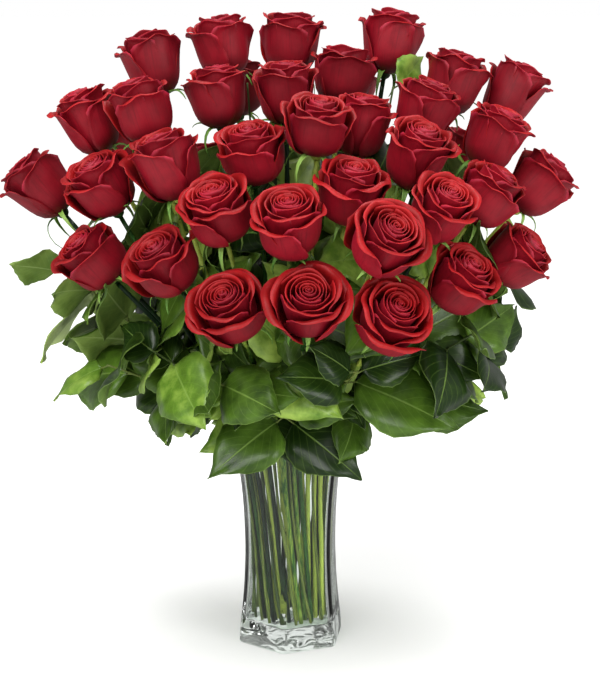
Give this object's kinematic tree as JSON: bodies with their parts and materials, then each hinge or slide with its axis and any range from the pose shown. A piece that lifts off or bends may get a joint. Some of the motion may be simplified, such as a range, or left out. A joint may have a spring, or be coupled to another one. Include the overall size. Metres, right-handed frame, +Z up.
{
  "type": "roses in a vase",
  "caption": "Bouquet of long-stemmed red roses with leafy green branches, standing in a flared six-sided clear glass vase with a thick bottom.",
  "frame": {"origin": "centre of the vase's flat underside, on the surface it stands on", "axes": "+Z up along the vase, -Y towards the viewer, the side with the fullest and lowest blooms, +X to the viewer's right"},
  "size_m": [0.5676, 0.4554, 0.6625],
  "materials": {
    "clear_glass": "polished",
    "red_rose_petal": "satin",
    "green_leaf": "satin"
  },
  "bodies": {
    "root": {"vase": "clear_glass", "rose_01": "red_rose_petal", "rose_02": "red_rose_petal", "rose_03": "red_rose_petal", "rose_04": "red_rose_petal", "rose_05": "red_rose_petal", "rose_06": "red_rose_petal", "rose_07": "red_rose_petal", "rose_08": "red_rose_petal", "rose_09": "red_rose_petal", "rose_10": "red_rose_petal", "rose_11": "red_rose_petal", "rose_12": "red_rose_petal", "rose_13": "red_rose_petal", "rose_14": "red_rose_petal", "rose_15": "red_rose_petal", "rose_16": "red_rose_petal", "rose_17": "red_rose_petal", "rose_18": "red_rose_petal", "rose_19": "red_rose_petal", "rose_20": "red_rose_petal", "rose_21": "red_rose_petal", "rose_22": "red_rose_petal", "rose_23": "red_rose_petal", "rose_24": "red_rose_petal", "rose_25": "red_rose_petal", "rose_26": "red_rose_petal", "rose_27": "red_rose_petal", "rose_28": "red_rose_petal", "rose_29": "red_rose_petal", "rose_30": "red_rose_petal", "rose_31": "red_rose_petal", "rose_32": "red_rose_petal", "rose_33": "red_rose_petal", "rose_34": "red_rose_petal", "rose_35": "red_rose_petal", "rose_36": "red_rose_petal", "rose_37": "red_rose_petal", "rose_38": "red_rose_petal", "rose_39": "red_rose_petal", "rose_40": "red_rose_petal", "leaf_branch_01": "green_leaf", "leaf_branch_02": "green_leaf", "leaf_branch_03": "green_leaf", "leaf_branch_04": "green_leaf", "leaf_branch_05": "green_leaf", "leaf_branch_06": "green_leaf", "leaf_branch_07": "green_leaf", "leaf_branch_08": "green_leaf", "leaf_branch_09": "green_leaf", "leaf_branch_10": "green_leaf", "leaf_branch_11": "green_leaf", "leaf_branch_12": "green_leaf", "leaf_branch_13": "green_leaf", "leaf_branch_14": "green_leaf", "leaf_branch_15": "green_leaf", "leaf_branch_16": "green_leaf", "leaf_branch_17": "green_leaf", "leaf_branch_18": "green_leaf"}
  },
  "joints": []
}
